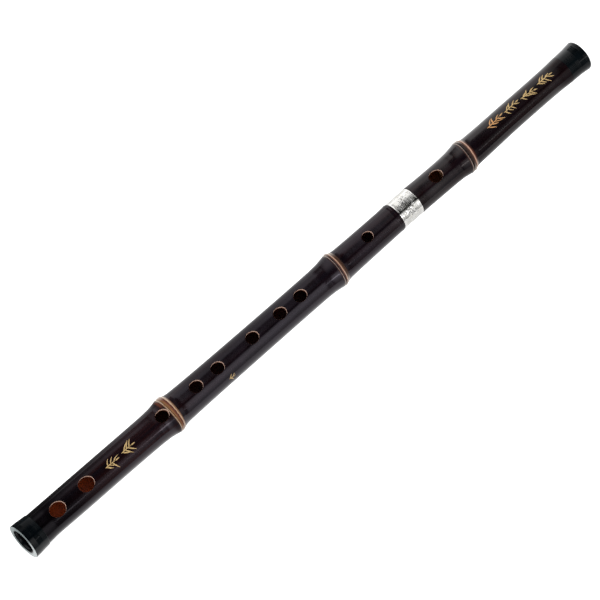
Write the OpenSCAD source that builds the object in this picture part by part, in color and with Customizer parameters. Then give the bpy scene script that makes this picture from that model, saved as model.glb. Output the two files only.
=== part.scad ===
// Side-blown bamboo flute in two sections, joined by a metal tuning slide.
//
// The bore axis is X. The origin is on that axis, at the foot section's end face. +X points
// to the head end, and the row of holes faces +Z. Distances along the flute are measured
// from the origin, and all sizes are in millimetres.

/* [Overall] */
// Foot section, from its end face to the joint plane
foot_section_len = 343.6; // [341:0.2:352]
// Head section, from the joint plane to its end face
head_section_len = 156.4; // [154:0.2:162]
// Air column, reamed from the foot to the stopper's seat
bore_d = 15; // [14.6:0.1:15.2]

/* [Bamboo] */
// Outside diameter that the culm's straight taper has at the foot
culm_foot_d = 23.1; // [22.6:0.1:24]
// Outside diameter that the culm's straight taper has at the head
culm_head_d = 18.6; // [18.4:0.1:19.2]
// Height of the node swellings, as a share of their usual height
node_relief = 1; // [0.8:0.05:1.2]
// Place of each natural node along the flute
node_x = [125.8, 272, 390.3];
// Height of each node's swelling, as a share of the first one's
node_share = [1, 0.79, 0.85];

/* [Holes] */
// Middle of the mouth hole, past the joint plane
mouth_hole_offset = 19.8; // [19:0.1:21]
// Middle of the membrane hole
membrane_hole_x = 300.4; // [297:0.1:304]
// Middle of each finger hole, from the foot
finger_hole_x = [118.1, 147.7, 166.5, 197.1, 221.7, 239.7];
// Middle of each sound hole at the foot, on the finger holes' side
sound_hole_x = [27.9, 52.3];
// Middle of each cord hole at the back of the foot section
cord_hole_x = [70, 86];
// Length and width of the oval mouth hole
mouth_hole_size = [10.1, 8.5];
// Length and width of the oval membrane hole
membrane_hole_size = [8.2, 7.4];
// Length and width of each oval finger hole
finger_hole_size = [9.6, 8.3];
// Length and width of each oval sound hole
sound_hole_size = [11.4, 9.8];
// Diameter of each round cord hole
cord_hole_d = 6; // [5:0.5:7]
// Turn of the sound holes away from the finger holes' line, in degrees
sound_hole_turn = 4; // [0:1:10]
// Turn of the head section on the slide at rest, the other way, in degrees
head_turn = 3; // [0:1:10]

/* [Joint] */
// Length of the joint ring
ring_len = 16.8; // [15:0.2:19]
// Outside diameter of the joint ring
ring_d = 20; // [19.8:0.1:20.2]
// Wall of each tube of the tuning slide
sleeve_wall = 0.35; // [0.3:0.01:0.36]
// Running clearance between the sliding tubes, on the radius
slide_gap = 0.05; // [0.03:0.01:0.06]
// Length of tenon inside the socket when the slide is closed
tenon_len = 23; // [20:0.5:25]
// Length of tenon inside the head section
tenon_root_len = 12; // [10:0.5:12]

/* [End caps and stopper] */
// Length of the foot cap
foot_cap_len = 11.8; // [11:0.2:13]
// Largest diameter of the foot cap
foot_cap_d = 25.4; // [25:0.1:26]
// Length of the head cap
head_cap_len = 16.9; // [15:0.2:18]
// Largest diameter of the head cap
head_cap_d = 22.2; // [22:0.1:22.8]
// Diameter of the open bore between the stopper and the head end
head_bore_d = 13.6; // [13:0.1:13.8]
// Length of the stopper
stopper_len = 12; // [10:0.5:12]

/* [Hidden] */
$fn = 96;

joint_x = foot_section_len;
head_x = foot_section_len + head_section_len;
bore_r = bore_d / 2;
glue_gap = 0.04;                           // glue line between fixed parts, on the radius
seat_gap = 0.12;                           // open line between the two closed sections
arris = 0.2;                               // small bevel that breaks a sharp edge

// Tuning slide: the tenon slides between the liner inside it and the socket around it.
liner_r = bore_r + sleeve_wall;
tenon_in_r = liner_r + slide_gap;
tenon_r = tenon_in_r + sleeve_wall;
socket_in_r = tenon_r + slide_gap;
socket_r = socket_in_r + sleeve_wall;
pocket_r = socket_r + glue_gap;            // pocket in the bamboo that holds the socket
collar_len = 2;                            // thick root of the liner
nose_room = 0.8;                           // free length beyond the tenon's nose
pocket_x = joint_x - tenon_len - nose_room - collar_len;

// Joint ring, fitted over a turned-down neck at the end of the foot section
ring_r = ring_d / 2;
ring_wall = 0.5;
ring_lip = 0.8;                            // turned-in lip over the neck's end
ring_x = joint_x - ring_len;
neck_r = ring_r - ring_wall - glue_gap;

// End caps, fitted over turned-down spigots
cap_lip = 2.6;                             // thickness of a cap's end wall
foot_spigot_r = 9.6;
head_spigot_r = 8.7;
mouth_flare = [2.2, 2.3];                  // depth and width of the bell at the foot's mouth
mouth_round = 0.8;                         // rounding of the bore at the head end
head_bore_r = head_bore_d / 2;

// Stopper, and the land in the bore that it is pushed along to tune the octaves
stopper_r = 7.2;
stopper_travel = 2;                        // each way from its usual place
stopper_x = joint_x + mouth_hole_offset + 8.6;
land_r = stopper_r + slide_gap;
land_x = stopper_x - stopper_travel;
land_end_x = stopper_x + stopper_len + stopper_travel;

// Spacing of the points along the culm's outline
coarse_step = 6;
fine_step = 0.7;
fine_reach = 9;                            // reach of the fine steps each side of a node

function bell(d, before, after) = exp(-pow(d / (d < 0 ? before : after), 2));

// Rise of the culm around a node: a long shoulder, a ridge that drops faster on the head
// side, and the two thin lips of the sheath's scar on its crest.
function node_rise(d) =
    0.75 * exp(-abs(d) / 20) + 1.35 * bell(d, 7, 3.6)
    + 0.4 * (bell(d + 1.4, 0.9, 0.9) + bell(d - 1.2, 0.8, 0.8));

function taper_r(x) = (culm_foot_d + (culm_head_d - culm_foot_d) * x / head_x) / 2;

function nodes_rise(x) =
    [for (n = node_x) node_relief * node_rise(x - n)] * node_share;

// Radius of the culm, which also flares towards the next node at its head end.
function culm_r(x) = taper_r(x) + nodes_rise(x) + 2.6 * exp((x - head_x) / 15);

function steps(from, to, size) =
    let (n = ceil((to - from) / size)) [for (i = [0 : n - 1]) from + (to - from) * i / n];

// Places from one end of a bamboo section to the other, close together at its nodes.
function places(from, to, nodes, i = 0) =
    i == len(nodes)
    ? concat(steps(from, to, coarse_step), [to])
    : concat(steps(from, nodes[i] - fine_reach, coarse_step),
             steps(nodes[i] - fine_reach, nodes[i] + fine_reach, fine_step),
             places(nodes[i] + fine_reach, to, nodes, i + 1));

function skin(from, to, nodes) = [for (x = places(from, to, nodes)) [culm_r(x), x]];

// Round corner of an outline of [radius, x] points, from one angle to another.
function corner(centre, r, from, to) =
    [for (i = [0 : 6]) let (a = from + (to - from) * i / 6) centre + r * [cos(a), sin(a)]];

// Turns an outline of [radius, x] points about the bore's axis.
module turned(outline) {
    rotate([0, 90, 0]) rotate_extrude() polygon(outline);
}

// Oval cutter from the bore's axis out through the wall, turned about X from the +Z side.
module oval_cutter(x, size, turn = 0) {
    rotate([turn, 0, 0]) translate([x, 0, 0]) linear_extrude(foot_cap_d)
        polygon([for (a = [0 : 15 : 345]) [size[0] * cos(a), size[1] * sin(a)] / 2]);
}

module foot_cap() {
    r = foot_cap_d / 2;
    edge = 0.8;
    rim_r = r - 0.75;                      // the cap narrows towards the bamboo
    hold_r = foot_spigot_r + glue_gap;
    color([0.05, 0.07, 0.08])
        turned(concat(
            [[bore_r, cap_lip]],
            [for (a = [180 : 15 : 270])
                [bore_r, 0] + [mouth_flare[1] * (1 + cos(a)), mouth_flare[0] * (1 + sin(a))]],
            corner([r - edge, edge], edge, 270, 360),
            [[rim_r, foot_cap_len - arris], [rim_r - arris, foot_cap_len],
             [hold_r, foot_cap_len], [hold_r, cap_lip]]));
}

module head_cap() {
    r = head_cap_d / 2;
    edge = 2;
    start_x = head_x - head_cap_len;
    start_r = culm_r(start_x);
    hold_r = head_spigot_r + glue_gap;
    color([0.05, 0.07, 0.08])
        turned(concat(
            [[head_bore_r, head_x - cap_lip], [hold_r, head_x - cap_lip], [hold_r, start_x],
             [start_r - arris, start_x], [start_r, start_x + arris],
             [start_r + 0.2, head_x - 8], [r - 0.3, head_x - 4]],
            corner([r - edge, head_x - edge], edge, 0, 90),
            corner([head_bore_r + mouth_round, head_x - mouth_round], mouth_round, 90, 180)));
}

module body_bamboo() {
    start_x = cap_lip + glue_gap;
    skin_x = foot_cap_len + glue_gap;
    skin_end_x = ring_x - glue_gap;
    neck_end_x = joint_x - ring_lip - glue_gap;
    color([0.16, 0.09, 0.08])
        difference() {
            turned(concat(
                [[bore_r, start_x], [foot_spigot_r, start_x], [foot_spigot_r, skin_x]],
                skin(skin_x, skin_end_x - arris, [node_x[0], node_x[1]]),
                [[culm_r(skin_end_x) - arris, skin_end_x], [neck_r, skin_end_x],
                 [neck_r, neck_end_x], [pocket_r, neck_end_x], [pocket_r, pocket_x],
                 [bore_r, pocket_x]]));
            oval_cutter(membrane_hole_x, membrane_hole_size);
            for (x = finger_hole_x) oval_cutter(x, finger_hole_size);
            for (x = sound_hole_x) oval_cutter(x, sound_hole_size, sound_hole_turn);
            for (x = cord_hole_x)
                translate([x, 0, -foot_cap_d]) cylinder(h = foot_cap_d, d = cord_hole_d);
        }
}

module joint_ring() {
    border = 1.5;                          // plain raised border at each end of the ring
    sunk_r = ring_r - 0.12;                // engraved band between the borders
    in_r = ring_r - ring_wall;
    color([0.82, 0.82, 0.8])
        turned([[in_r, ring_x], [ring_r - arris, ring_x], [ring_r, ring_x + arris],
                [ring_r, ring_x + border], [sunk_r, ring_x + border + arris],
                [sunk_r, joint_x - border - arris], [ring_r, joint_x - border],
                [ring_r, joint_x - arris], [ring_r - arris, joint_x], [pocket_r, joint_x],
                [pocket_r, joint_x - ring_lip], [in_r, joint_x - ring_lip]]);
}

module socket_sleeve() {
    start_x = pocket_x + collar_len + glue_gap;
    color([0.78, 0.77, 0.72])
        turned([[socket_in_r, start_x], [socket_r, start_x], [socket_r, joint_x],
                [socket_in_r, joint_x]]);
}

module liner_sleeve() {
    start_x = pocket_x + glue_gap;
    step_x = pocket_x + collar_len;
    color([0.78, 0.77, 0.72])
        turned([[bore_r, start_x], [socket_r, start_x], [socket_r, step_x],
                [liner_r, step_x], [liner_r, joint_x], [bore_r, joint_x]]);
}

module tenon_sleeve() {
    nose_x = joint_x - tenon_len;
    end_x = joint_x + tenon_root_len;
    step_x = joint_x + slide_gap;          // inside step that meets the liner's end
    lead = 0.15;                           // bevel that leads the nose into the socket
    color([0.8, 0.8, 0.77])
        turned([[tenon_in_r, nose_x], [tenon_r - lead, nose_x], [tenon_r, nose_x + lead],
                [tenon_r, end_x], [bore_r, end_x], [bore_r, step_x],
                [tenon_in_r, step_x]]);
}

module head_bamboo() {
    start_x = joint_x + seat_gap;
    skin_end_x = head_x - head_cap_len - glue_gap;
    end_x = head_x - cap_lip - glue_gap;
    root_r = tenon_r + slide_gap;
    root_x = joint_x + tenon_root_len + slide_gap;
    color([0.16, 0.09, 0.08])
        difference() {
            turned(concat(
                [[root_r, start_x], [culm_r(start_x) - arris, start_x]],
                skin(start_x + arris, skin_end_x, [node_x[2]]),
                [[head_spigot_r, skin_end_x], [head_spigot_r, end_x], [head_bore_r, end_x],
                 [head_bore_r, land_end_x], [land_r, land_end_x], [land_r, land_x],
                 [bore_r, land_x], [bore_r, root_x], [root_r, root_x]]));
            oval_cutter(joint_x + mouth_hole_offset, mouth_hole_size, -head_turn);
        }
}

module stopper() {
    end_x = stopper_x + stopper_len;
    bevel = 0.4;
    color([0.72, 0.55, 0.38])
        turned([[0, stopper_x], [stopper_r - bevel, stopper_x],
                [stopper_r, stopper_x + bevel], [stopper_r, end_x - bevel],
                [stopper_r - bevel, end_x], [0, end_x]]);
}

foot_cap();
body_bamboo();
joint_ring();
socket_sleeve();
liner_sleeve();
tenon_sleeve();
head_bamboo();
stopper();
head_cap();
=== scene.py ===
"""Looks of the side-blown bamboo flute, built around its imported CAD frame.

Places along the flute are in millimetres from the foot end, and angles about the bore are
measured from the finger holes' side (+Z) towards +Y. Meshes are handed to Blender in metres.
"""

import math
import random
from collections import namedtuple

import bmesh
import bpy
import numpy as np
from mathutils import Matrix, Vector, noise


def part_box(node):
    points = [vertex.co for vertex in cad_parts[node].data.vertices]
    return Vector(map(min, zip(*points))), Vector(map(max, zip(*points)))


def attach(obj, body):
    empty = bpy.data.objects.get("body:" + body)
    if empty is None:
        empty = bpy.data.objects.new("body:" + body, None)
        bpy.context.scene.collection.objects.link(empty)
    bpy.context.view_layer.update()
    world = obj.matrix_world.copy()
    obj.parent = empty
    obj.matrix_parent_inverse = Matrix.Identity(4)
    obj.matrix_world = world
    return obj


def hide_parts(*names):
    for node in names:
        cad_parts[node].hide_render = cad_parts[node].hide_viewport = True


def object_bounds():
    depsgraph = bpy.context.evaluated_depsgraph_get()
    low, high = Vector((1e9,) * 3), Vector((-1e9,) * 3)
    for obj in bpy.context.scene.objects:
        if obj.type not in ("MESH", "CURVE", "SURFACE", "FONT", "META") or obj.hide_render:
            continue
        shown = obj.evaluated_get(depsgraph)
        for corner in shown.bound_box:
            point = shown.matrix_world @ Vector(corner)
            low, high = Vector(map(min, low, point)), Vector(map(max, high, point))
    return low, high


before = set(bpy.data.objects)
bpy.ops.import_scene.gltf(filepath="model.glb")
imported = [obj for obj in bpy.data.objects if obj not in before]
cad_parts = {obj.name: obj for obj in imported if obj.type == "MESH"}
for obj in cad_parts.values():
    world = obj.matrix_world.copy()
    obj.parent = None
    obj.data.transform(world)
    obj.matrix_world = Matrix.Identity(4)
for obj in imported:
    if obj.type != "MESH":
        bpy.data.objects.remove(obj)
cad_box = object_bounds()

MM = 0.001
TURN = 2 * math.pi

# ---------- driving dimensions

# Natural nodes of the culm: place, height as a share of the first one's, and how far past
# the place its scar's foot lip, ridge and brown end lie. The scar leans by lean on each side,
# is widest at the angle wide, and loses the share taper of its width opposite.
Node = namedtuple("Node", "x share foot ridge end lean wide taper")
NODES = [Node(125.8, 1.0, -2.6, 1.3, 2.8, 0.25, 0.5, 0.6),
         Node(272.0, 0.79, -1.5, 0.8, 3.8, 0.8, -0.2, 0.5),
         Node(390.3, 0.85, -1.8, 2.4, 4.5, 1.0, -0.2, 0.65)]
CAD_LIP = 0.4                          # height of the two plain lips on the CAD outline
CAD_LIPS = ((-1.4, 0.9), (1.2, 0.8))   # their places past the node, and half widths
NODE_REACH = 20                        # how far from a node its marks can be seen
LEAN_REACH = 9                         # how far from a node the culm follows its lean

# Oval holes: place, length, width, turn about the bore in degrees.
Hole = namedtuple("Hole", "x length width turn")
FINGER_HOLES = [Hole(x, 9.6, 8.3, 0) for x in (118.1, 147.7, 166.5, 197.1, 221.7, 239.7)]
SOUND_HOLES = [Hole(x, 11.4, 9.8, -4) for x in (27.9, 52.3)]
CORD_HOLES = [Hole(x, 6.0, 6.0, 180) for x in (70, 86)]
MEMBRANE_HOLE = Hole(300.4, 8.2, 7.4, 0)
MOUTH_HOLE = Hole(363.4, 10.1, 8.5, 3)


def span(node):
    """Start, end and largest radius of a CAD node."""
    low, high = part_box(node)
    return low.x / MM, high.x / MM, high.z / MM


RING_START, JOINT_X, RING_R = span("joint_ring")
HEAD_X = span("head_cap")[1]
WIDEST_R = cad_box[1].z / MM - 0.03

# The culm's slight bows towards one side: how far, middle and reach of each.
BOWS = ((0.48, 208, 112), (0.4, 388, 34))
BOW_TURN = math.radians(-102)

BORE_R = 7.5
HEAD_BORE_R = 6.8
FOOT_SPIGOT_R = 9.6      # bamboo under the foot cap
HEAD_SPIGOT_R = 8.7      # bamboo under the head cap
POCKET_R = 8.69          # pocket of the slide's outer tube
TUBE_WALL = 0.35         # wall of the slide's tubes
RING_WALL = 0.5
RING_LIP = 0.8           # ring's inner lip, which covers the bamboo's neck
GLUE_GAP = 0.04


# ---------- outlines from the frame

def outer_outline(node):
    """Places along a CAD node's outside and its radius at each, from the side without holes."""
    co = np.array([v.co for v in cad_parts[node].data.vertices]) / MM
    radius = np.hypot(co[:, 1], co[:, 2])
    side = np.abs(co[:, 1]) > 1.7 * np.abs(co[:, 2])
    keep = side & (radius > BORE_R + 1.7)
    xs, index = np.unique(np.round(co[keep, 0], 3), return_inverse=True)
    widest = np.zeros(len(xs))
    np.maximum.at(widest, index, radius[keep])
    return xs, widest


def smooth_curve(xs, ys):
    """Cubic curve through points, as a function."""
    slopes = np.gradient(ys, xs)

    def curve(x):
        i = int(np.clip(np.searchsorted(xs, x) - 1, 0, len(xs) - 2))
        h = xs[i + 1] - xs[i]
        t = min(max((x - xs[i]) / h, 0.0), 1.0)
        t2, t3 = t * t, t * t * t
        return float((2 * t3 - 3 * t2 + 1) * ys[i] + (t3 - 2 * t2 + t) * h * slopes[i]
                     + (3 * t2 - 2 * t3) * ys[i + 1] + (t3 - t2) * h * slopes[i + 1])
    return curve


def bell(d, width):
    return math.exp(-(d / width) ** 2)


def wave(angle, seed, count=5):
    """Smooth noise round the tube, between about -1 and 1."""
    return sum(math.sin(k * angle + seed * (1.7 + k) * k) / k for k in range(1, count + 1)) / 1.6


def node_distance(x, angle):
    """Signed distance to the nearest node in mm, and that node's number. The node leans
    and wanders a little round the culm, as a grown one does."""
    number = min(range(len(NODES)), key=lambda k: abs(x - NODES[k].x))
    node = NODES[number]
    d = x - node.x
    wander = node.lean * math.sin(angle + 0.21) + 0.1 * wave(angle, 3 + number)
    return d - bell(d, LEAN_REACH) * wander, number


def scar_distance(d, node, angle):
    """Distance to a node as its scar sees it, which narrows round the culm."""
    width = 1 - node.taper * (1 - math.cos(angle - node.wide)) / 2
    return d * (1 + (1 / width - 1) * bell(d, LEAN_REACH))


def plateau(x, middle, reach):
    """1 over a stretch about the middle, falling smoothly to 0 beyond its reach."""
    return math.exp(-((x - middle) / reach) ** 4)


class Skin:
    """Outer surface of a bamboo section: the CAD outline with the culm's natural detail."""

    def __init__(self, node, start, end):
        xs, widest = outer_outline(node)
        keep = (xs >= start - 0.01) & (xs <= end + 0.01)
        self.curve = smooth_curve(xs[keep], widest[keep])
        self.start, self.end = start, end

    def radius(self, x, angle):
        d, number = node_distance(x, angle)
        node = NODES[number]
        r = self.curve(node.x + d)
        r -= CAD_LIP * node.share * sum(bell(d - at, width) for at, width in CAD_LIPS)
        edge = min(1.0, max(0.0, (x - self.start) / 8), max(0.0, (self.end - x) / 8))
        foot = bell(x - 20, 16)
        bow = sum(far * plateau(x, middle, reach) for far, middle, reach in BOWS) - 0.2 * foot
        r += edge * (bow * math.cos(angle - BOW_TURN) - 0.18 * foot)
        r -= 0.05 * edge * (1 + math.sin(2 * angle + 0.6 + 0.011 * x))
        r -= 0.03 * edge * (1 + math.sin(3 * angle + 1.9 - 0.017 * x))
        return min(r + scar_relief(d, node, angle, number), WIDEST_R)


def lip(d, climb, drop):
    """Sharp lip that climbs from the foot side and drops on the head side."""
    return bell(d, climb if d < 0 else drop)


def scar_relief(d, node, angle, number):
    """Foot lip, groove, ridge and fine rings of a scar, on top of the smooth outline."""
    d = scar_distance(d, node, angle)
    if not node.foot - 3 < d < node.end + 2:
        return 0.0
    torn = 0.85 + 0.3 * wave(3 * angle, 5 + number)
    relief = 0.22 * torn * lip(d - node.foot, 1.1, 0.2)
    relief -= 0.5 * lip(d - node.foot - 0.7, 0.34, 0.5)
    relief += 0.42 * torn * lip(d - node.ridge, 0.55, 0.4)
    if node.foot + 0.5 < d < node.end:
        relief += 0.03 * math.sin(7.5 * d + 1.1 * wave(2 * angle, 9 + number))
    return relief - 0.04 * lip(d - node.end, 3.0, 1.0)


def scar_place(d, node):
    """Place in a scar: 0 at its foot lip, 1 at its ridge, 2 at its end, and mm beyond."""
    if d < node.foot:
        return max(-9.0, d - node.foot)
    if d < node.ridge:
        return (d - node.foot) / (node.ridge - node.foot)
    if d < node.end:
        return 1 + (d - node.ridge) / (node.end - node.ridge)
    return min(9.0, 2 + d - node.end)


# ---------- tubes with oval holes

def round_point(x, angle, r):
    """Point at an angle about the bore and a distance from its axis."""
    return x, r * math.sin(angle), r * math.cos(angle)


def join(faces, loop_a, loop_b):
    """Adds quads between two closed loops of equal length, or triangles at the axis."""
    after_a, after_b = loop_a[1:] + loop_a[:1], loop_b[1:] + loop_b[:1]
    for corners in zip(loop_a, after_a, after_b, loop_b):
        corners = list(dict.fromkeys(corners))
        if len(corners) > 2:
            faces.append(corners)


class Sheet:
    """Vertices in mm, faces, and the marks that the bamboo's material reads. The mark cut is
    SKIN on the skin, up to 1 on a hole's rounded edge, 1 to 2 down its wall and BORE inside."""

    def __init__(self):
        self.points, self.faces = [], []
        self.marks = {"cut": [], "scar": [], "number": [], "near": []}

    def add(self, point, cut):
        x, y, z = point
        angle = math.atan2(y, z)
        d, number = node_distance(x, angle)
        scar = scar_place(scar_distance(d, NODES[number], angle), NODES[number])
        near = float(abs(d) < NODE_REACH)
        for values, value in zip(self.marks.values(), (cut, scar, number, near)):
            values.append(value)
        self.points.append(point)
        return len(self.points) - 1

    def stitch(self, loop_a, loop_b):
        """Triangles between two closed loops of any length that go round together."""
        a, b = 0, 0
        na, nb = len(loop_a), len(loop_b)
        while a < na or b < nb:
            start, end = loop_a[a % na], loop_b[b % nb]
            if b >= nb or (a < na and (a + 1) / na <= (b + 1) / nb):
                a += 1
                self.faces.append((start, loop_a[a % na], end))
            else:
                b += 1
                self.faces.append((start, loop_b[b % nb], end))


SKIN, BORE = 0.0, 3.0
HOLE_MARGIN = 1.5        # from a hole's edge to its patch's edge along the tube
RIM_ROUND = 0.16         # worn rounding of a hole's outer edge
OUTER_COLUMNS = 90
INNER_COLUMNS = 60
BORE_STEP = 4.0


def patch_span(hole):
    reach = hole.length / 2 + HOLE_MARGIN
    return hole.x - reach, hole.x + reach


def patch_columns(hole, columns):
    """First and last column of a hole's patch, which is wider than the hole inside and out."""
    half = round(0.9 * hole.width)
    middle = round(hole.turn * columns / 360)
    return middle - half, middle + half


def patch_rows(hole):
    """Rows of the grid over a hole's patch, more of them where it reaches a scar band."""
    return 42 if min(abs(hole.x - n.x) for n in NODES) < 12 else 12


def place_list(start, end, holes, step):
    """Places of the rows from start to end: even rows over each hole, and in between
    rows as far apart as step(x) says."""
    places, x = [start], start
    stops = sorted((*patch_span(h), patch_rows(h)) for h in holes) + [(end, end, 0)]
    for low, high, rows in stops:
        while low - x > 1.5 * step(x):
            x += step(x)
            places.append(x)
        if low - places[-1] > 1e-6:
            places.append(low)
        places += [low + (high - low) * k / rows for k in range(1, rows + 1)]
        x = places[-1]
    return places


def skin_step(x):
    d = min(abs(x - n.x) for n in NODES)
    return 0.24 if d < 6 else 0.6 if d < 14 else 1.4


def constant(value):
    """A function of a place that has the same value everywhere."""
    return lambda *place: value


def on_surface(hole, dx, dy, radius):
    """Angle and radius of the surface at a place seen along the hole's axis."""
    turn = math.radians(hole.turn)
    angle = turn
    for _ in range(4):
        r = radius(hole.x + dx, angle)
        angle = turn + math.asin(max(-0.99, min(0.99, dy / r)))
    return angle, radius(hole.x + dx, angle)


def hole_point(hole, dx, dy, height):
    """Point given by its place across the hole and its height along the hole."""
    turn = math.radians(hole.turn)
    y = dy * math.cos(turn) + height * math.sin(turn)
    z = height * math.cos(turn) - dy * math.sin(turn)
    return hole.x + dx, y, z


def shell(sheet, rows, columns, holes, cut):
    """Adds one surface of a tube from rows of (place, radius function), leaving an oval
    opening at each hole. Returns the two end loops and each hole's rim with its angles."""
    grid, opened, hidden, spans = {}, set(), set(), []
    places = np.array([x for x, radius in rows])
    for hole in holes:
        low, high = patch_span(hole)
        i0, i1 = int(np.argmin(abs(places - low))), int(np.argmin(abs(places - high)))
        j0, j1 = patch_columns(hole, columns)
        spans.append((i0, i1, j0, j1))
        opened |= {(i, j % columns) for i in range(i0, i1) for j in range(j0, j1)}
        hidden |= {(i, j % columns) for i in range(i0 + 1, i1) for j in range(j0 + 1, j1)}
    for i, (x, radius) in enumerate(rows):
        for j in range(columns):
            if (i, j) not in hidden:
                angle = TURN * j / columns
                grid[i, j] = sheet.add(round_point(x, angle, radius(x, angle)), cut)
    for i in range(len(rows) - 1):
        for j in range(columns):
            if (i, j) not in opened:
                m = (j + 1) % columns
                sheet.faces.append((grid[i, j], grid[i, m], grid[i + 1, m], grid[i + 1, j]))
    rims = []
    for hole, (i0, i1, j0, j1) in zip(holes, spans):
        path = ([(i0, j) for j in range(j0, j1)] + [(i, j1) for i in range(i0, i1)]
                + [(i1, j) for j in range(j1, j0, -1)] + [(i, j0) for i in range(i1, i0, -1)])
        rims.append(rim_rings(sheet, hole, rows, grid, path, columns, cut))
    first, last = ([grid[i, j] for j in range(columns)] for i in (0, len(rows) - 1))
    return first, last, rims


def rim_rings(sheet, hole, rows, grid, path, columns, cut):
    """Rings that lead from the rectangle of grid points round a hole to its oval rim."""
    turn = math.radians(hole.turn)
    a, b = hole.length / 2 + RIM_ROUND, hole.width / 2 + RIM_ROUND
    radius = rows[path[0][0]][1]
    corners, angles = [], []
    for i, j in path:
        x, row_radius = rows[i]
        angle = TURN * j / columns
        dx = x - hole.x
        dy = row_radius(x, angle) * math.sin(angle - turn)
        corners.append((dx, dy))
        angles.append(math.atan2(dy / b, dx / a))
    loop = [grid[i, j % columns] for i, j in path]
    for t in (0.3, 0.6, 0.84, 1.0):
        ring = []
        for (dx, dy), phi in zip(corners, angles):
            px = dx + (a * math.cos(phi) - dx) * t
            py = dy + (b * math.sin(phi) - dy) * t
            angle, r = on_surface(hole, px, py, radius)
            ring.append(sheet.add(round_point(hole.x + px, angle, r), cut))
        join(sheet.faces, loop, ring)
        loop = ring
    return loop, angles, radius


def hole_wall(sheet, hole, outer, inner):
    """Rounded edge and wall of a hole, from the outer rim to the inner one."""
    rim, angles, skin_radius = outer
    inner_rim, _, bore_radius = inner
    turn = math.radians(hole.turn)
    a, b = hole.length / 2, hole.width / 2

    def height(dx, dy, radius):
        angle, r = on_surface(hole, dx, dy, radius)
        return r * math.cos(angle - turn)

    loop = rim
    for k in range(1, 9):                     # four rings round the edge, then four down
        bend = math.pi / 2 * min(k, 4) / 4
        share = max(0, k - 4) / 5
        out = RIM_ROUND * (1 - math.sin(bend))
        drop = RIM_ROUND * (1 - math.cos(bend))
        ring = []
        for phi in angles:
            dx, dy = (a + out) * math.cos(phi), (b + out) * math.sin(phi)
            top = height(dx, dy, skin_radius) - drop
            low = height(dx, dy, bore_radius) + RIM_ROUND
            point = hole_point(hole, dx, dy, top + (low - top) * share)
            ring.append(sheet.add(point, 0.5 + min(k, 4) / 8 + share))
        join(sheet.faces, loop, ring)
        loop = ring
    join(sheet.faces, loop, inner_rim)


def bamboo_section(name, skin, before, after, bore, holes):
    """A closed bamboo tube. before and after are the turned-down (place, radius) points
    at its ends, and bore is the outline of its inside as (place, radius) points."""
    sheet = Sheet()
    places = place_list(skin.start, skin.end, holes, skin_step)
    rows = [(x, constant(r)) for x, r in before]
    rows += [(x, skin.radius) for x in places]
    rows += [(x, constant(r)) for x, r in after]
    first, last, outer_rims = shell(sheet, rows, OUTER_COLUMNS, holes, SKIN)
    inner_rows = []
    for (x0, r0), (x1, r1) in zip(bore, bore[1:]):
        within = [h for h in holes if x0 < h.x < x1]
        stretch = place_list(x0, x1, within, constant(BORE_STEP))[:-1] if x1 - x0 > 0.5 else [x0]
        inner_rows += [(x, constant(r0)) for x in stretch]
    inner_rows.append((bore[-1][0], constant(bore[-1][1])))
    inner_first, inner_last, inner_rims = shell(sheet, inner_rows, INNER_COLUMNS, holes, BORE)
    for hole, outer, inner in zip(holes, outer_rims, inner_rims):
        hole_wall(sheet, hole, outer, inner)
    sheet.stitch(first, inner_first)
    sheet.stitch(last, inner_last)
    return add_piece(name, sheet.points, sheet.faces, sheet.marks)


def add_object(name, data):
    item = bpy.data.objects.new(name, data)
    bpy.context.scene.collection.objects.link(item)
    return item


def add_piece(name, points, faces, marks=()):
    """Makes a closed object from points in mm, with its faces turned outwards and shaded
    smooth, and a value at each point for every named mark."""
    mesh = bpy.data.meshes.new(name)
    mesh.from_pydata([tuple(c * MM for c in p) for p in points], [], faces)
    for mark, values in dict(marks).items():
        layer = mesh.attributes.new(mark, "FLOAT", "POINT")
        layer.data.foreach_set("value", np.array(values, np.float32))
    work = bmesh.new()
    work.from_mesh(mesh)
    bmesh.ops.remove_doubles(work, verts=work.verts, dist=1e-7)
    bmesh.ops.recalc_face_normals(work, faces=work.faces)
    for face in work.faces:
        face.smooth = True
    for edge in work.edges:
        if len(edge.link_faces) == 2 and edge.calc_face_angle(0) > math.radians(38):
            edge.smooth = False
    work.to_mesh(mesh)
    work.free()
    return add_object(name, mesh)


# ---------- turned pieces

OUT, ON, IN = -90, 0, 90       # the way an outline runs before it turns a corner


def corner(x, r, size, way, count=8):
    """Points that round a corner of an outline, which would be sharp at (x, r)."""
    x += size if way == OUT else -size
    r += size if way == IN else -size
    angles = [math.radians(way + 90 * k / count) for k in range(count + 1)]
    return [(x + size * math.sin(a), r + size * math.cos(a)) for a in angles]


def turned(name, outline, columns=128, shift=constant(0.0)):
    """Closed piece turned about the bore from a closed outline of (place, radius) points.
    Points at radius 0 become one vertex. shift(x, r, angle) moves points in and out."""
    points, faces, loops = [], [], []
    for x, r in outline:
        first = len(points)
        if r == 0:
            points.append((x, 0, 0))
            loops.append([first] * columns)
            continue
        for j in range(columns):
            angle = TURN * j / columns
            points.append(round_point(x, angle, r + shift(x, r, angle)))
        loops.append(list(range(first, first + columns)))
    for a, b in zip(loops, loops[1:] + loops[:1]):
        join(faces, a, b)
    return add_piece(name, points, faces)


def spread(outline, step):
    """The same outline with extra points on its long straight stretches."""
    points = []
    for (x0, r0), (x1, r1) in zip(outline, outline[1:] + outline[:1]):
        count = max(1, round(math.hypot(x1 - x0, r1 - r0) / step))
        points += [(x0 + (x1 - x0) * k / count, r0 + (r1 - r0) * k / count)
                   for k in range(count)]
    return points


# ---------- leaves, for inlay and ring

Leaf = namedtuple("Leaf", "x y angle length width bend")


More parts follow.
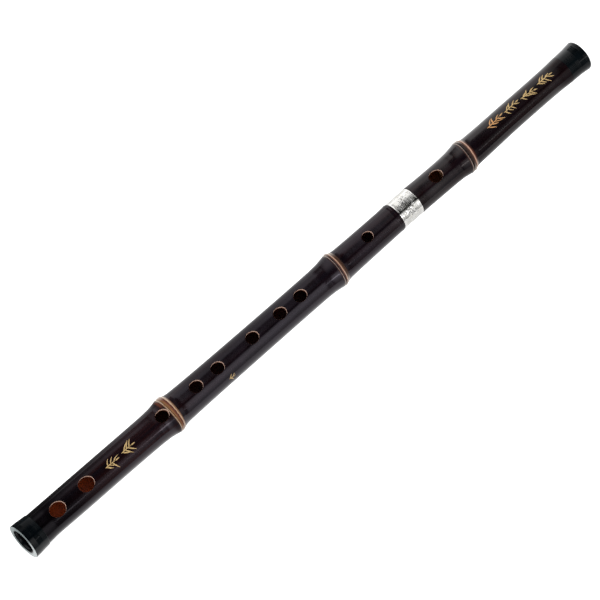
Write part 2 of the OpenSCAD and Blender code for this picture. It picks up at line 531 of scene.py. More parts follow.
def leaf_midline(leaf, t):
    """Point on a leaf's midline, and its direction, t running from stalk to tip."""
    cos, sin = math.cos(leaf.angle), math.sin(leaf.angle)
    along, across = leaf.length * t, leaf.bend * t * t
    slope = 2 * leaf.bend * t / leaf.length
    point = (leaf.x + along * cos - across * sin, leaf.y + along * sin + across * cos)
    return point, leaf.angle + math.atan(slope)


def leaf_half_width(leaf, t):
    return leaf.width / 2 * max(0.0, math.sin(math.pi * t ** 0.8)) ** 0.75 * (1.15 - 0.4 * t)


def leaf_spray(rng, length, height, count):
    """A generic spray of leaves on a short stem, centred on 0, 0."""
    stem = Leaf(-length / 2, rng.uniform(-0.4, 0.4), rng.uniform(-0.12, 0.12), length * 0.86, 0.6,
                rng.uniform(-0.9, 0.9))
    leaves = [stem]
    for k in range(count):
        t = 0.12 + 0.8 * k / count
        (x, y), heading = leaf_midline(stem, t)
        side = 1 if k % 2 else -1
        reach = height * rng.uniform(0.46, 0.7)
        leaves.append(Leaf(x, y, heading + side * rng.uniform(0.6, 1.25), reach,
                           rng.uniform(0.55, 0.85), side * rng.uniform(-1.7, -0.4)))
    (x, y), heading = leaf_midline(stem, 0.97)
    leaves.append(Leaf(x, y, heading, height * 0.35, 0.8, rng.uniform(-0.6, 0.6)))
    return leaves


def inlay(name, skin, sprays):
    """Gold-filled leaves in the bamboo's skin. sprays are (place, turn, leaves)."""
    points, faces = [], []
    across = (-1, -0.5, 0, 0.5, 1)
    section = [(u, 0.06 - 0.05 * u * u) for u in across] + [(-u, -0.15) for u in across]
    sections = 15
    for number, (place, turn, leaves) in enumerate(sprays):
        for part, leaf in enumerate(leaves):
            loops = []
            for k in range(sections):
                t = 0.02 + 0.96 * k / (sections - 1)
                (x, y), heading = leaf_midline(leaf, t)
                brush = 1 + 0.13 * wave(9 * t, number + part, 4)
                half = leaf_half_width(leaf, t) * brush + 0.04
                loops.append(list(range(len(points), len(points) + len(section))))
                for u, lift in section:
                    px = place + x - u * half * math.sin(heading)
                    py = y + u * half * math.cos(heading)
                    angle = math.radians(turn) + py / skin.curve(px)
                    points.append(round_point(px, angle, skin.radius(px, angle) + lift))
            for a, b in zip(loops, loops[1:]):
                join(faces, a, b)
            for end in (loops[0], loops[-1]):
                faces += [(end[m], end[m + 1], end[-2 - m], end[-1 - m])
                          for m in range(len(across) - 1)]
    return add_piece(name, points, faces)


# ---------- materials

class Value:
    """An output in a node tree, with plain arithmetic."""

    def __init__(self, nodes, socket):
        self.nodes, self.socket = nodes, socket

    def __add__(self, other):
        return self.nodes.math("ADD", self, other)

    def __sub__(self, other):
        return self.nodes.math("SUBTRACT", self, other)

    def __rsub__(self, other):
        return self.nodes.math("SUBTRACT", other, self)

    def __mul__(self, other):
        return self.nodes.math("MULTIPLY", self, other)

    def __truediv__(self, other):
        return self.nodes.math("DIVIDE", self, other)


class Nodes:
    """A node tree, built by short calls that return values."""

    def __init__(self, tree):
        self.tree = tree

    def add(self, kind, output, inputs=None, **settings):
        node = self.tree.nodes.new(kind)
        for key, value in settings.items():
            setattr(node, key, value)
        for key, value in (inputs or {}).items():
            self.plug(node.inputs[key], value)
        return Value(self, node.outputs[output])

    def plug(self, socket, value):
        if isinstance(value, Value):
            self.tree.links.new(value.socket, socket)
        else:
            socket.default_value = (*value, 1) if socket.type == "RGBA" else value

    def math(self, operation, a, b=0.0, clamp=False):
        return self.add("ShaderNodeMath", 0, {0: a, 1: b}, operation=operation, use_clamp=clamp)

    def dot(self, vector, direction):
        return self.add("ShaderNodeVectorMath", "Value", {0: vector, 1: tuple(direction)},
                        operation="DOT_PRODUCT")

    def step(self, value, low, high):
        """0 below low, 1 above high, smooth in between."""
        return self.add("ShaderNodeMapRange", 0, {0: value, "From Min": low, "From Max": high},
                        interpolation_type="SMOOTHSTEP")

    def band(self, value, low, high, soft):
        """1 between low and high, falling to 0 over soft on each side."""
        rise = self.step(value, low - soft, low + soft)
        fall = self.step(value, high - soft, high + soft)
        return self.math("SUBTRACT", rise, fall, clamp=True)

    def ramp(self, value, stops, smooth=False):
        """Numbers or colours by a value from 0 to 1."""
        result = self.add("ShaderNodeValToRGB", "Color", {"Fac": value})
        ramp = result.socket.node.color_ramp
        ramp.interpolation = "EASE" if smooth else "LINEAR"
        while len(ramp.elements) < len(stops):
            ramp.elements.new(0.5)
        for element, (at, color) in zip(ramp.elements, stops):
            element.position = at
            element.color = (*(color if isinstance(color, tuple) else (color,) * 3), 1)
        return result

    def mix(self, share, a, b, blend="MIX"):
        return self.add("ShaderNodeMix", 2, {0: share, 6: a, 7: b}, data_type="RGBA",
                        blend_type=blend)


class Graph(Nodes):
    """A procedural material on a place in mm."""

    def __init__(self, name):
        self.material = bpy.data.materials.new(name)
        self.material.use_nodes = True
        super().__init__(self.material.node_tree)
        self.mm = self.add("ShaderNodeVectorMath", 0, {
            0: self.add("ShaderNodeTexCoord", "Object"), "Scale": 1 / MM}, operation="SCALE")
        self.along = self.add("ShaderNodeSeparateXYZ", 0, {0: self.mm})
        self.side = self.add("ShaderNodeSeparateXYZ", 1, {0: self.mm})
        self.share = self.along / HEAD_X

    def noise(self, scale, detail, rough):
        """Noise with a scale per mm, which is one number or one for each axis."""
        place = self.add("ShaderNodeVectorMath", 0, {
            0: self.mm, 1: scale if isinstance(scale, tuple) else (scale,) * 3},
            operation="MULTIPLY")
        return self.add("ShaderNodeTexNoise", "Fac", {
            "Vector": place, "Scale": 1.0, "Detail": detail, "Roughness": rough})

    def mark(self, name):
        return self.add("ShaderNodeAttribute", "Fac", attribute_name=name)

    def bump(self, height, distance, strength, normal=None):
        below = {"Normal": normal} if normal else {}
        return self.add("ShaderNodeBump", "Normal", {
            "Height": height, "Distance": distance * MM, "Strength": strength, **below})

    def finish(self, inputs):
        for key, value in inputs.items():
            self.plug(self.tree.nodes["Principled BSDF"].inputs[key], value)
        return self.material


def tone(red, green, blue):
    """Linear colour from everyday 0 to 255 values."""
    def linear(v):
        v /= 255
        return v / 12.92 if v <= 0.04045 else ((v + 0.055) / 1.055) ** 2.4
    return linear(red), linear(green), linear(blue)


# Colours across each node's scar, by place: 0 foot lip, 1 ridge, 2 end. They run from
# -SCAR_REACH to SCAR_REACH.
SCAR_REACH = 3.0
SCAR_COLORS = [
    [(-2.0, (26, 13, 9)), (-0.6, (44, 26, 18)), (-0.12, (170, 142, 116)), (0.06, (170, 142, 116)),
     (0.14, (58, 32, 22)), (0.28, (132, 96, 62)), (0.5, (120, 82, 54)), (0.7, (98, 50, 38)),
     (0.86, (62, 32, 26)), (0.94, (180, 152, 124)), (1.15, (176, 146, 116)),
     (1.35, (132, 100, 76)), (1.85, (112, 84, 64)), (2.1, (36, 20, 16))],
    [(-1.5, (14, 9, 10)), (-0.3, (40, 26, 24)), (-0.08, (104, 72, 62)), (0.06, (84, 54, 46)),
     (0.14, (16, 8, 8)), (0.45, (44, 26, 23)), (0.82, (92, 64, 54)), (0.95, (188, 150, 128)),
     (1.08, (176, 140, 114)), (1.2, (58, 38, 28)), (1.36, (96, 66, 42)), (1.52, (42, 26, 20)),
     (1.68, (74, 50, 34)), (1.9, (40, 26, 20)), (2.15, (12, 8, 9))],
    [(-1.8, (14, 9, 10)), (-0.5, (52, 38, 36)), (-0.08, (110, 82, 74)), (0.06, (84, 60, 54)),
     (0.13, (12, 7, 8)), (0.42, (46, 34, 32)), (0.66, (58, 42, 38)), (0.76, (92, 68, 60)),
     (0.84, (60, 42, 36)), (0.93, (190, 152, 132)), (1.08, (180, 140, 116)), (1.22, (70, 36, 28)),
     (1.36, (104, 56, 42)), (1.7, (54, 24, 20)), (2.1, (14, 8, 9))],
]


def bamboo_skin(g, fibres, specks):
    """Near-black culm that turns red-brown towards both ends, in streaks."""
    section = g.ramp(g.share, [
        (0, 0), (0.06, 0.15), (0.13, 0.7), (0.24, 0.6), (0.3, 0.2), (0.42, 0.12), (0.6, 0.28),
        (0.67, 0.35), (0.76, 0.4), (0.8, 0.25), (0.9, 0.45), (1, 0.35)], smooth=True)
    depth = g.ramp(g.share, [(0.03, 0.3), (0.08, 0.45), (0.2, 1), (0.75, 1), (0.9, 0.7)])
    streaks = g.ramp(g.noise((0.012, 0.42, 0.42), 4, 0.55), [(0.34, 0.1), (0.66, 1)])
    dark = g.ramp(g.noise(0.11, 5, 0.6), [(0.35, tone(6, 4, 7)), (0.7, tone(15, 11, 18))])
    warm = g.ramp(fibres, [(0.3, tone(20, 7, 6)), (0.75, tone(50, 16, 12))])
    skin = g.mix(1, g.mix(section * streaks, dark, warm), depth, "MULTIPLY")
    return g.mix(g.ramp(specks, [(0.62, 0), (0.78, 0.3)]), skin, tone(44, 28, 26))


def scar_coloring(g, skin, scar, number, rings):
    """The skin with each node's scar painted over it, with a painted reflection that turns the
    scar pale towards the outline, and how bare and how shaded it is.
    """
    frayed = scar + (g.noise(0.7, 4, 0.6) - 0.5) * 0.22
    share = frayed / (2 * SCAR_REACH) + 0.5

    def across(stops):
        return g.ramp(share, [(at / (2 * SCAR_REACH) + 0.5, value) for at, value in stops])

    color = (0, 0, 0)
    for k, stops in enumerate(SCAR_COLORS):
        own = across([(at, tone(*rgb)) for at, rgb in stops])
        color = g.mix(g.math("GREATER_THAN", number, k - 0.5), color, own)
    streaked = g.mix(g.ramp(rings, [(0.35, 0), (0.65, 1)]), (0.55, 0.5, 0.46), (1.2, 1.15, 1.1))
    color = g.mix(1, color, streaked, "MULTIPLY")
    # Painted reflection: the scar's colour turns pale grey where its surface turns away towards
    # the outline, standing in for the room's light glinting on its edges.
    edge = g.step(g.add("ShaderNodeLayerWeight", "Facing"), 0.3, 0.9)
    color = g.mix(edge * 0.7, color, tone(222, 212, 202))
    near = g.mark("near")
    inside = across([(-1.6, 0), (-0.35, 0.7), (-0.1, 1), (1.95, 1), (2.3, 0)]) * near
    shade = g.band(scar, -5.0, 0.0, 2.0) * g.math("LESS_THAN", number, 0.5) * near
    amber = shade * g.step(scar, -3.2, -1.4) * g.band(g.side, 4.5, 10.5, 2.0)
    skin = g.mix(amber * 0.6, skin, tone(104, 50, 24))
    return g.mix(inside, skin, color), inside, shade


def polish(g):
    """How well the surface is polished by place and side, from dull ends to a bright middle."""
    near_side = g.ramp(g.share, [
        (0, 0.3), (0.04, 0.28), (0.08, 0.5), (0.13, 0.6), (0.2, 1), (0.72, 1),
        (0.75, 0.5), (0.79, 0.55), (0.82, 1), (0.93, 1), (0.96, 0.45), (1, 0.5)])
    far_side = g.ramp(g.share, [
        (0, 0.15), (0.018, 0.15), (0.024, 0.3), (0.05, 0.3), (0.08, 0.9), (0.13, 0.85),
        (0.2, 1.1), (0.3, 0.65), (0.4, 0.65), (0.5, 0.8), (0.66, 0.9), (0.74, 1.1), (0.8, 1.35),
        (0.86, 1.1), (1, 0.9)])
    crown = g.step(g.share, 0.935, 0.955) * g.step(g.side, 7.0, 4.0)
    return g.mix(g.step(g.side, -1.0, 1), near_side, far_side) * (1 - crown * 0.6)


def bamboo_material():
    """Lacquered culm. Its holes have a stained edge, bare flesh in the upper wall that turns
    darker towards the bore, and a red-brown sealed bore with painted light near the sound holes
    and the mouth hole and painted shade at the foot end."""
    g = Graph("dark_bamboo")
    cut, scar, number = g.mark("cut"), g.mark("scar"), g.mark("number")
    fibres = g.noise((0.035, 1.9, 1.9), 6, 0.62)
    specks = g.noise(2.3, 3, 0.7)
    rings = g.noise((3.2, 0.16, 0.16), 4, 0.6)
    skin = bamboo_skin(g, fibres, specks)
    color, scarred, shade = scar_coloring(g, skin, scar, number, rings)
    # The bore's colour holds painted light and shade: bright red-brown near the sound holes and
    # the mouth hole, and near black at the foot end.
    bore = g.ramp(g.share, [
        (0, tone(6, 5, 5)), (0.03, tone(12, 7, 6)), (0.05, tone(150, 66, 30)),
        (0.12, tone(150, 66, 30)), (0.2, tone(52, 20, 12)), (0.69, tone(44, 18, 12)),
        (0.72, tone(84, 42, 22)), (0.75, tone(84, 42, 22)), (0.8, tone(44, 18, 12))])
    wall = g.ramp(cut / BORE, [
        (0.2, tone(40, 22, 18)), (0.28, tone(60, 38, 32)), (0.32, tone(232, 202, 184)),
        (0.45, tone(226, 192, 172)), (0.52, tone(96, 52, 34)), (0.6, tone(70, 34, 22))])
    wall = g.mix(g.step(cut, 1.8, 2.6), wall, bore)
    bare = g.math("MAXIMUM", scarred, g.step(cut, 0.7, 1.0))
    normal = g.bump(rings, 0.12, bare * 0.7, g.bump(fibres, 0.02, 0.3))
    pores = g.ramp(specks, [(0.3, 0), (0.42, 1)])
    return g.finish({
        "Base Color": g.mix(g.step(cut, 0.25, 0.55), color, wall),
        "Roughness": bare * 0.36 + 0.14 + (fibres - 0.5) * 0.1,
        "Normal": g.bump(pores, 0.02, 0.12, normal),
        "Coat Weight": (1.0 - g.math("MAXIMUM", bare, shade)) * 0.05,
        "Coat Roughness": 0.05,
        "Specular IOR Level": (0.3 - bare * 0.12) * (1.0 - shade * 0.75) * polish(g),
        "Specular Tint": g.ramp(g.share, [(0.6, (0.98, 0.89, 1.05)), (0.68, (1, 0.95, 0.95))])})


def horn_material():
    """Black horn, pale grey on the foot face and lighter there towards both sides."""
    g = Graph("black_horn")
    clouds, streaks = g.noise((0.06, 0.12, 0.12), 5, 0.62), g.noise((0.08, 0.9, 0.9), 4, 0.6)
    color = g.ramp(clouds, [(0.35, tone(2, 4, 6)), (0.7, tone(8, 13, 16))])
    color = g.mix(g.ramp(streaks, [(0.55, 0), (0.75, 0.4)]), color, tone(18, 25, 27))
    pale = g.mix(g.step(g.math("ABSOLUTE", g.side), 5.0, 12.0), tone(132, 142, 142),
                 tone(176, 184, 184))
    marks = g.noise((5.0, 0.3, 0.3), 3, 0.6)
    return g.finish({
        "Base Color": g.mix(g.step(g.along, 0.16, 0.06), color, pale),
        "Roughness": marks * 0.08 + 0.07, "Normal": g.bump(marks, 0.012, 0.35),
        "Specular IOR Level": polish(g) * 0.5})


def nickel_material(name, base, engraved):
    g = Graph(name)
    lines = g.noise((9.0, 0.35, 0.35), 5, 0.65)
    stain = tuple(c * f for c, f in zip(base, (0.9, 0.86, 0.74)))
    color = g.mix(g.ramp(g.noise(0.35, 4, 0.6), [(0.45, 0), (0.8, 0.6)]), base, stain)
    rough = lines * 0.1 + 0.05
    normal = g.bump(lines, 0.01, 0.2)
    if engraved:
        low = g.mark("sunk")
        color = g.mix(low * 0.3, color, tone(176, 176, 170))
        rough = rough + low * 0.06
        normal = g.bump(g.noise(3.4, 2, 0.6), 0.03, low * 0.3, normal)
    return g.finish({"Base Color": color, "Roughness": rough, "Metallic": 1.0, "Normal": normal})


def cork_material():
    g = Graph("cork")
    cells = g.add("ShaderNodeTexVoronoi", "Distance", {"Vector": g.mm, "Scale": 1.6})
    color = g.ramp(g.noise(0.5, 5, 0.65), [(0.35, tone(150, 108, 70)), (0.7, tone(198, 156, 112))])
    pits = g.ramp(g.noise(1.1, 4, 0.7), [(0.3, 1), (0.4, 0)])
    return g.finish({
        "Base Color": g.mix(pits, color, tone(78, 48, 30)), "Roughness": 0.85,
        "Normal": g.bump(cells - pits * 0.8, 0.15, 0.6), "Specular IOR Level": 0.25})


def gold_material():
    g = Graph("gold_paint")
    brush = g.noise((0.9, 2.6, 2.6), 4, 0.65)
    color = g.ramp(brush, [(0.3, tone(156, 124, 70)), (0.7, tone(212, 184, 130))])
    color = g.mix(g.band(g.along, 380.0, 426.0, 6.0) * 0.6, color, tone(206, 138, 84))
    worn = g.ramp(g.noise(2.2, 3, 0.7), [(0.3, 0.75), (0.4, 0)])
    return g.finish({
        "Base Color": g.mix(worn, color, tone(62, 40, 22)), "Roughness": 0.45, "Metallic": 0.2,
        "Normal": g.bump(brush, 0.05, 0.6)})


# ---------- pieces

RING_BORDER = 1.5
RING_SUNK = 0.09
RING_REPEATS = 8
RING_SWING = 2.7


def ring_vine(unit):
    """Leaves of one repeat of the ring's engraving, along a vine that swings to and fro."""
    leaves = []
    for k in range(14):
        around = unit * (k + 0.5) / 14 - unit / 2
        swing = RING_SWING * math.sin(TURN * around / unit)
        heading = math.atan(RING_SWING * TURN / unit * math.cos(TURN * around / unit))
        side = 1 if k % 2 else -1
        leaves.append(Leaf(around, swing, heading + side * 1.0, 2.9, 1.1, side * -0.5))
    return leaves


def leaf_height(leaf, x, y):
    """Height of a leaf's relief at a place, from 0 beside it to 1 at its crown."""
    cos, sin = math.cos(leaf.angle), math.sin(leaf.angle)
    t = ((x - leaf.x) * cos + (y - leaf.y) * sin) / leaf.length
    if not 0 < t < 1:
        return 0.0
    half = leaf_half_width(leaf, t) + 1e-6
    across = (y - leaf.y) * cos - (x - leaf.x) * sin - leaf.bend * t * t
    return max(0.0, 1 - (across / half) ** 2) ** 0.5 * (1 - 0.75 * bell(across, 0.13))


def ring_relief(columns):
    """Sunk depth of the engraving by place along the ring and angle, as a function."""
    unit = TURN * RING_R / RING_REPEATS
    vine = ring_vine(unit)
    middle = (RING_START + JOINT_X) / 2
    half_band = (JOINT_X - RING_START) / 2 - RING_BORDER
    known = {}

    def depth(x, angle):
        column = round(angle / TURN * columns) % (columns // RING_REPEATS)
        key = (round(x, 4), column)
        if key not in known:
            around = unit * column * RING_REPEATS / columns - unit / 2
            along = x - middle
            stalk = bell(along - RING_SWING * math.sin(TURN * around / unit), 0.25)
            high = max(leaf_height(leaf, around + shift, along)
                       for leaf in vine for shift in (-unit, 0, unit))
            inside = min(1.0, max(0.0, (half_band - abs(along)) / 0.25))
            bead = 0.8 * bell(half_band - abs(along) - 0.55, 0.16)
            known[key] = RING_SUNK * inside * (1 - max(high, stalk, bead))
        return known[key]
    return depth


def make_ring():
    """Joint ring with plain borders and an engraved leaf vine between them."""
    columns = 400
    depth = ring_relief(columns)
    inner_r, edge = RING_R - RING_WALL, 0.25
    low, high, lip = RING_START + edge, JOINT_X - edge, JOINT_X - RING_LIP
    rows = round((high - low) / 0.14)
    outline = (corner(RING_START, RING_R, edge, OUT, 5)
               + [(low + (high - low) * k / rows, RING_R) for k in range(1, rows)]
               + corner(JOINT_X, RING_R, edge, ON, 5)
               + [(JOINT_X, POCKET_R), (lip, POCKET_R), (lip, inner_r), (RING_START, inner_r)])

    def shift(x, r, angle):
        if r < RING_R - 1e-6:
            return 0.0
        groove = 0.05 * (bell(x - RING_START - 1.1, 0.12) + bell(JOINT_X - 1.1 - x, 0.12))
        return -depth(x, angle) - groove

    ring = turned("joint_ring_engraved", outline, columns, shift)
    sunk = []
    for vertex in ring.data.vertices:
        r = math.hypot(vertex.co.y, vertex.co.z) / MM
        sunk.append(min(1.0, max(0.0, (RING_R - r) / RING_SUNK)) if r > RING_R - 0.2 else 0.0)
    ring.data.attributes.new("sunk", "FLOAT", "POINT").data.foreach_set("value", sunk)
    return ring


def make_foot_cap():
    """Horn cap with a worn edge and a bell at the bore's mouth."""
    start, end, r = span("foot_cap")
    edge, flare_depth, flare = 0.5, 2.2, 2.3
    inner_r, shoulder = FOOT_SPIGOT_R + GLUE_GAP, start + 2.6
    bell_mouth = [(start + flare_depth * (1 - math.sin(a)), BORE_R + flare * (1 - math.cos(a)))
                  for a in (math.pi / 2 * k / 14 for k in range(15))]
    outline = ([(shoulder, BORE_R)] + bell_mouth
               + corner(start, r, edge, OUT)
               + [(start + 4, r - 0.12), (start + 8, r - 0.5)]
               + corner(end, r - 0.75, 0.3, ON, 5)
               + [(end, inner_r), (shoulder, inner_r)])

    def shift(x, radius, angle):
        if radius < inner_r + 0.5:
            return 0.0
        turning = 0.012 * math.sin(9 * x) * wave(2 * angle + x, 3)
        return -0.03 * (1 + math.sin(2 * angle + 1.1)) * min(1, (radius - inner_r) / 2) + turning
    return turned("foot_cap_horn", spread(outline, 0.3), 128, shift)


def make_head_cap():
    """Horn cap that flares to the head end, with fine turned lines near its rim."""
    start, end, r = span("head_cap")
    edge, mouth, start_r = 1.6, 1.0, 10.22
    inner_r, shoulder = HEAD_SPIGOT_R + GLUE_GAP, end - 2.6
    outline = ([(shoulder, HEAD_BORE_R), (shoulder, inner_r), (start, inner_r)]
               + corner(start, start_r - 0.05, 0.2, OUT, 4)
               + [(start + 3, start_r + 0.02), (start + 6, start_r + 0.09),
                  (start + 8.9, start_r + 0.19), (start + 11, r - 0.48), (end - 4, r - 0.3)]
               + corner(end, r, edge, ON) + corner(end, HEAD_BORE_R, mouth, IN))
    lines = [end - 1.9, end - 2.5, end - 3.3]

    def shift(x, radius, angle):
        if radius < inner_r + 0.5 or end - x < 0.4:
            return 0.0
        groove = 0.09 * sum(bell(x - line, 0.16) for line in lines)
        return 0.008 * math.sin(8 * x) * wave(2 * angle + x, 5) - groove
    return turned("head_cap_horn", spread(outline, 0.22), 128, shift)


def make_socket():
    start, end, r = span("socket_sleeve")
    outline = ([(start, r - TUBE_WALL)] + corner(start, r, 0.08, OUT, 3)
               + corner(end, r, 0.1, ON, 3) + corner(end, r - TUBE_WALL, 0.15, IN, 3))
    return turned("socket_tube", outline)


def make_liner():
    start, end, r = span("liner_sleeve")
    step = start + 2 - GLUE_GAP
    outer_r = BORE_R + TUBE_WALL
    outline = ([(start, BORE_R), (start, r)] + corner(step, r, 0.1, ON, 3) + [(step, outer_r)]
               + corner(end, outer_r, 0.1, ON, 3) + corner(end, BORE_R, 0.1, IN, 3))
    return turned("liner_tube", outline)


def make_tenon():
    """Sliding tube, its outside lapped in fine rings that a finger can feel."""
    start, end, r = span("tenon_sleeve")
    in_r = r - TUBE_WALL
    thick_length = 11.95
    step = end - thick_length
    outline = ([(start, in_r)] + corner(start, r, 0.16, OUT, 4)
               + [(end, r), (end, BORE_R), (step, BORE_R), (step, in_r)])

    def shift(x, radius, angle):
        return -0.006 * (1 + math.sin(11 * x)) if radius > r - 1e-6 else 0.0
    return turned("tenon_tube", spread(outline, 0.25), 128, shift)


def make_stopper():
    """Cork plug with rubbed edges and pores."""
    start, end, r = span("stopper")
    edge = 0.6
    low, high = start + edge, end - edge
    outline = ([(start, r * k / 12) for k in range(12)] + corner(start, r, edge, OUT, 5)
               + [(low + (high - low) * k / 30, r) for k in range(1, 30)]
               + corner(end, r, edge, ON, 5) + [(end, r * k / 12) for k in range(11, -1, -1)])

    def shift(x, radius, angle):
        pore = max(0.0, noise.noise(Vector(round_point(x, angle, radius)) * 0.9) - 0.18)
        return -min(0.35, 0.9 * pore) * min(1.0, radius / 2) - 0.02
    return turned("stopper_cork", outline, 96, shift)


def make_bamboo():
    """The two bamboo sections. Returns their pieces and skins."""
    ring_low = RING_START - GLUE_GAP
    pocket = span("liner_sleeve")[0] - GLUE_GAP
    root = span("tenon_sleeve")[1] + 0.05
    root_r, land_r = 8.3, 7.25
    land, land_end = JOINT_X + 26.4, JOINT_X + 42.4
    neck_end = JOINT_X - RING_LIP - GLUE_GAP
    neck_r = RING_R - RING_WALL - GLUE_GAP
    foot_start = span("body_bamboo")[0]
    foot_skin = Skin("body_bamboo", span("foot_cap")[1] + GLUE_GAP, ring_low)
    foot = bamboo_section(
        "foot_section_bamboo", foot_skin,
        [(foot_start, FOOT_SPIGOT_R), (foot_skin.start, FOOT_SPIGOT_R)],
        [(ring_low, neck_r), (neck_end, neck_r)],
        [(foot_start, BORE_R), (pocket, BORE_R), (pocket, POCKET_R), (neck_end, POCKET_R)],
        FINGER_HOLES + SOUND_HOLES + CORD_HOLES + [MEMBRANE_HOLE])
    head_start, head_end, _ = span("head_bamboo")
    head_skin = Skin("head_bamboo", head_start + 0.2, span("head_cap")[0] - GLUE_GAP)
    head = bamboo_section(
        "head_section_bamboo", head_skin,
        [(head_start, head_skin.curve(head_skin.start) - 0.2)],
        [(head_skin.end, HEAD_SPIGOT_R), (head_end, HEAD_SPIGOT_R)],
        [(head_start, root_r), (root, root_r), (root, BORE_R), (land, BORE_R), (land, land_r),
         (land_end, land_r), (land_end, HEAD_BORE_R), (head_end, HEAD_BORE_R)],
        [MOUTH_HOLE])
    return foot, foot_skin, head, head_skin


def make_inlays(foot_skin, head_skin):
    """Gold leaf sprays on both sections, and a small leaf mark by the finger holes."""
    rng = random.Random(11)
    head_sprays = []                       # the first one is larger than the others
    for place in (419.5, 435.0, 450.0, 465.5):
        turn, length, height = (14, 13.5, 8.0) if head_sprays else (11, 15.0, 9.6)
        head_sprays.append((place, turn, leaf_spray(rng, length, height, 7)))
    foot_sprays = [(place, -6, leaf_spray(rng, 10.0, 9.0, 6)) for place in (73.0, 87.0)]
    mark = [Leaf(-2.8, 0.4, -0.2, 5.4, 0.6, 0.5), Leaf(-1.9, 0.2, 1.0, 3.2, 0.55, -0.5),
            Leaf(-1.3, 0.2, -1.1, 3.0, 0.55, 0.5), Leaf(0.6, 0.0, 0.9, 2.6, 0.5, -0.4)]
    foot_sprays.append((171.0, -62, mark))
    return (inlay("foot_gold_leaves", foot_skin, foot_sprays),
            inlay("head_gold_leaves", head_skin, head_sprays))


def build():
    foot, foot_skin, head, head_skin = make_bamboo()
    foot_gold, head_gold = make_inlays(foot_skin, head_skin)
    bamboo, horn, gold = bamboo_material(), horn_material(), gold_material()
    slide = nickel_material("brushed_nickel", (0.72, 0.70, 0.64), False)
    engraved = nickel_material("engraved_nickel", (0.95, 0.94, 0.92), True)
    plan = [
        (foot, "foot_section", "bamboo", bamboo, "body_bamboo"),
        (head, "head_section", "bamboo", bamboo, "head_bamboo"),
        (make_foot_cap(), "foot_section", "horn", horn, "foot_cap"),
        (make_head_cap(), "head_section", "horn", horn, "head_cap"),
        (make_ring(), "foot_section", "nickel_silver", engraved, "joint_ring"),
        (make_socket(), "foot_section", "slide_metal", slide, "socket_sleeve"),
        (make_liner(), "foot_section", "slide_metal", slide, "liner_sleeve"),
        (make_tenon(), "tenon", "slide_metal", slide, "tenon_sleeve"),
        (make_stopper(), "stopper", "cork", cork_material(), "stopper"),
        (foot_gold, "foot_section", None, gold, None),
        (head_gold, "head_section", None, gold, None),
    ]
    for piece, body, slot, material, node in plan:
        piece.data.materials.append(material)
        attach(piece, body)
        if node:
            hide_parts(node)


# ---------- stage

# Direction from the flute to the camera, then the flute's own direction as the camera sees
# it, the direction across the picture of the flute, and the side that faces the camera.
VIEW = Vector((-0.3107, -0.1944, 0.9304)).normalized()
ALONG = (Vector((1, 0, 0)) - VIEW * VIEW.x).normalized()
ACROSS = Vector((1, 0, 0)).cross(VIEW).normalized()
FACING = ACROSS.cross(Vector((1, 0, 0)))
ROLL = math.radians(41.21)


def right_light(g, x, turn):
    """Panel to the right of the dark gap, with a thin bright strip in it."""
    start = g.step(x, 0.17, 0.21) * g.step(x, 0.27, 0.245) * 13
    by_turn = g.ramp(turn / 360 + 0.5, [
        (0, 0.6), (0.5, 1), (0.622, 1), (0.667, 0.6), (0.7, 0.4), (0.745, 0.16),
        (0.775, 0.16), (0.81, 0.3), (1, 0.4)])
    by_x = g.ramp(x, [
        (0, 0.95), (0.1, 0.85), (0.17, 0.3), (0.2, 0.06), (0.238, 0.04), (0.255, 0.35),
        (0.272, 1), (0.325, 1), (0.336, 0.75), (0.345, 0.5), (0.354, 0.22), (0.363, 0.07),
        (0.45, 0.1), (0.6, 0.4)])
    reach = g.math("MAXIMUM", g.step(x, 0.236, 0.22), g.band(x, 0.41, 0.44, 0.006))
    strip = g.band(turn, 34, 39, 2) * reach
    return g.step(turn - start, 8, 24) * by_turn * by_x * 1.9 + strip * 6.0


def left_light(g, direction, x, turn):
    """Panel to the left of the dark gap, softer where the joint ring reflects it, and the
    light that the foot-side slopes of the nodes see."""
    panel = g.dot(direction, Vector((0.892, 0, 0)) - 0.451 * FACING - 0.035 * ACROSS)
    panel = panel - g.ramp(x, [(0.358, 0), (0.384, 0.15), (0.4, 0.2)])
    soft = g.ramp(x, [(0.315, 0), (0.33, 1), (0.348, 1), (0.358, 0)])
    left = g.mix(soft, g.step(panel, -0.01, 0.06), g.step(panel, -0.26, -0.05))
    by_x = g.ramp(x, [
        (0, 0.2), (0.17, 0.25), (0.205, 0.16), (0.238, 0.04), (0.25, 0.25), (0.268, 0.9),
        (0.29, 1), (0.41, 1), (0.5, 0.2), (0.65, 0.12)])
    dip = g.step(turn, -68, -84) * g.step(x, 0.3, 0.275)
    left = left * by_x * g.step(turn, 4, -8) * (1.0 - dip * 0.85) * 1.3
    slope = g.step(turn, -4, -60) * g.ramp(x, [
        (0, 1.5), (0.1, 1.35), (0.17, 0.45), (0.22, 0.06), (0.24, 0)])
    return g.math("MAXIMUM", left, slope)


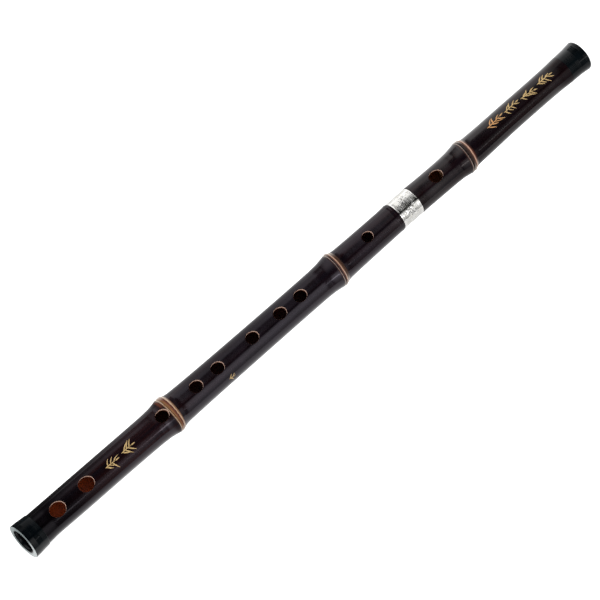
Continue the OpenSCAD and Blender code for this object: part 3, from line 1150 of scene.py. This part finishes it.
def studio_world():
    """White room for the camera. Shiny surfaces see soft panels on both sides of a dark
    gap behind the camera, and matt ones see even light from all round."""
    world = bpy.data.worlds.new("studio")
    world.use_nodes = True
    bpy.context.scene.world = world
    world.cycles.sampling_method = "NONE"
    g = Nodes(world.node_tree)
    direction = g.add("ShaderNodeTexCoord", "Generated")
    x = g.dot(direction, (1, 0, 0))
    turn = g.math("ARCTAN2", g.dot(direction, ACROSS), g.dot(direction, FACING)) * (360 / TURN)
    front = g.math("MAXIMUM", left_light(g, direction, x, turn), right_light(g, x, turn))
    back = g.step(turn, -95, -125) * g.ramp(x, [
        (0, 0.6), (0.15, 0.2), (0.24, 0.08), (0.29, 0.8), (0.6, 0.8)])
    matt = g.dot(direction, (0.25, 0.35, 0.9)) * 0.5 + 1.0
    glossy = g.math("MAXIMUM", front, back)
    seen = g.mix(g.add("ShaderNodeLightPath", "Is Glossy Ray"), matt, glossy)
    seen = g.mix(g.add("ShaderNodeLightPath", "Is Camera Ray"), seen, (1, 1, 1))
    g.plug(g.tree.nodes["Background"].inputs["Color"], seen)


def make_floor():
    """Pale floor under the flute, lit so brightly that shadows don't show on it."""
    size, z = 2.5, cad_box[0].z - 0.0002
    mesh = bpy.data.meshes.new("floor")
    mesh.from_pydata([(-size, -size, z), (size, -size, z), (size, size, z), (-size, size, z)],
                     [], [(0, 1, 2, 3)])
    g = Graph("bright_paper")
    port = g.ramp(g.share, [(0, 0.1), (0.12, 0.14), (0.16, 0.3), (0.22, 0.6), (0.3, 0.85),
                            (0.7, 0.9), (0.77, 1.5), (1, 1.5)])
    starboard = g.ramp(g.share, [(0, 1.2), (0.05, 2.2), (0.15, 1.8), (0.22, 1.25), (0.6, 1.25),
                                 (0.68, 0.8), (0.86, 0.9), (0.94, 1.1), (1, 1.4)])
    glow = g.mix(g.step(g.side, -2, 2), starboard, port)
    glow = g.mix(g.add("ShaderNodeLightPath", "Is Glossy Ray"), (0.9, 0.9, 0.9), glow)
    glow = g.mix(g.add("ShaderNodeLightPath", "Is Camera Ray"), glow, (1.5, 1.5, 1.5))
    mesh.materials.append(g.finish({
        "Base Color": (0, 0, 0), "Roughness": 0.9, "Specular IOR Level": 0.0,
        "Emission Color": glow, "Emission Strength": 1.0}))
    add_object("floor", mesh)


def place_camera():
    data = bpy.data.cameras.new("camera")
    data.lens = 240
    data.sensor_width = 36
    data.clip_end = 20
    camera = add_object("camera", data)
    right = math.cos(ROLL) * ALONG + math.sin(ROLL) * ACROSS
    up = math.sin(ROLL) * ALONG - math.cos(ROLL) * ACROSS
    turn = Matrix((right, up, VIEW)).transposed().to_4x4()
    middle, distance = Vector((0.2409, 0, 0)), 2.5655
    camera.matrix_world = Matrix.Translation(middle + distance * VIEW) @ turn
    bpy.context.scene.camera = camera


build()
studio_world()
make_floor()
place_camera()
bpy.context.scene.view_settings.view_transform = "Standard"
